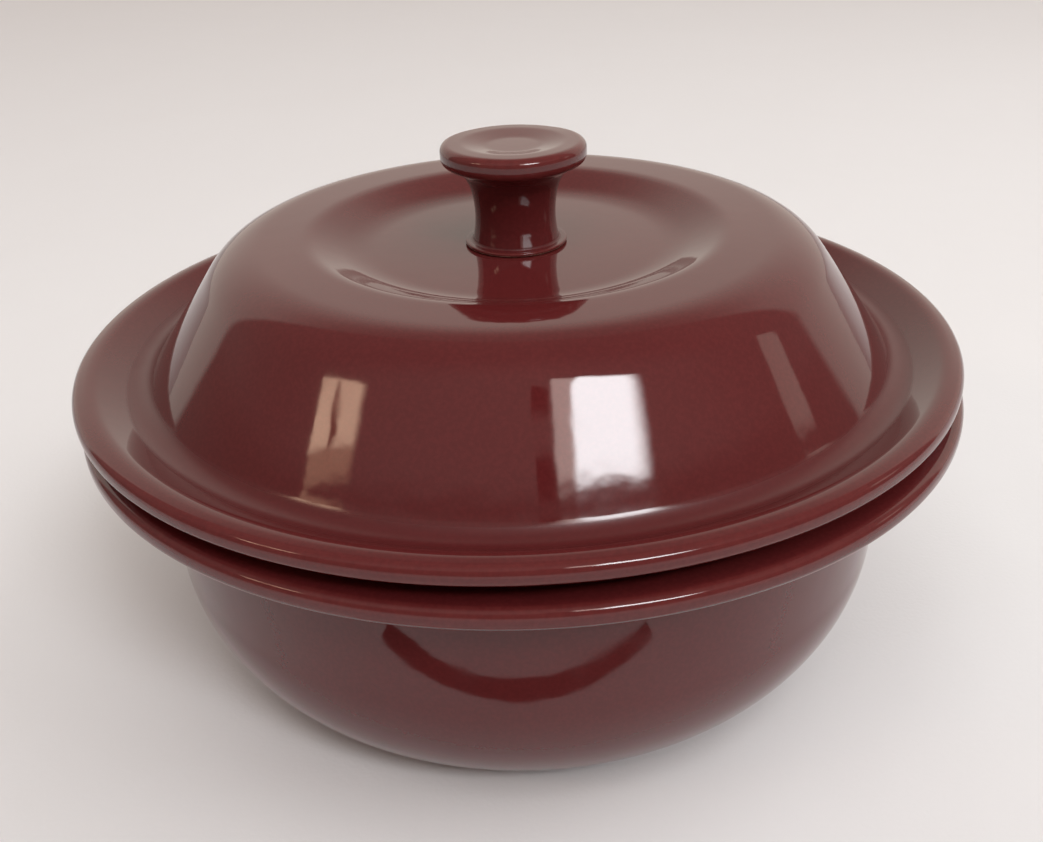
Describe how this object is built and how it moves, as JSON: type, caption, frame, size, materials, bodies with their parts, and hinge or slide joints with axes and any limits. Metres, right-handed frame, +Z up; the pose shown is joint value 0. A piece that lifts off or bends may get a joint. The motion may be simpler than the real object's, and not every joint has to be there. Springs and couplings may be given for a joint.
{
  "type": "covered casserole dish",
  "caption": "Round deep stoneware dish with a flanged rim and a domed lid; the lid has a hollowed crown with a waisted mushroom knob and lifts straight off.",
  "frame": {"origin": "centre of the foot ring's plane, on the axis that every piece was turned about", "axes": "+Z up along the axis of the dish, the lid and the knob; +X and +Y are any two radii, because the part is round"},
  "size_m": [0.261, 0.261, 0.1578],
  "materials": {
    "dish_glaze": "gloss burgundy glaze over buff stoneware, bare on the foot ring",
    "lid_glaze": "gloss burgundy glaze over buff stoneware, bare on the locating ring's seat",
    "knob_glaze": "gloss burgundy glaze"
  },
  "bodies": {
    "dish": {"dish": "dish_glaze"},
    "lid": {"lid": "lid_glaze", "lid_knob": "knob_glaze"}
  },
  "joints": [
    {"name": "lid_lift", "type": "slide", "parent": "dish", "child": "lid", "axis": [0, 0, 1], "range_m": [0, 0.15]}
  ]
}
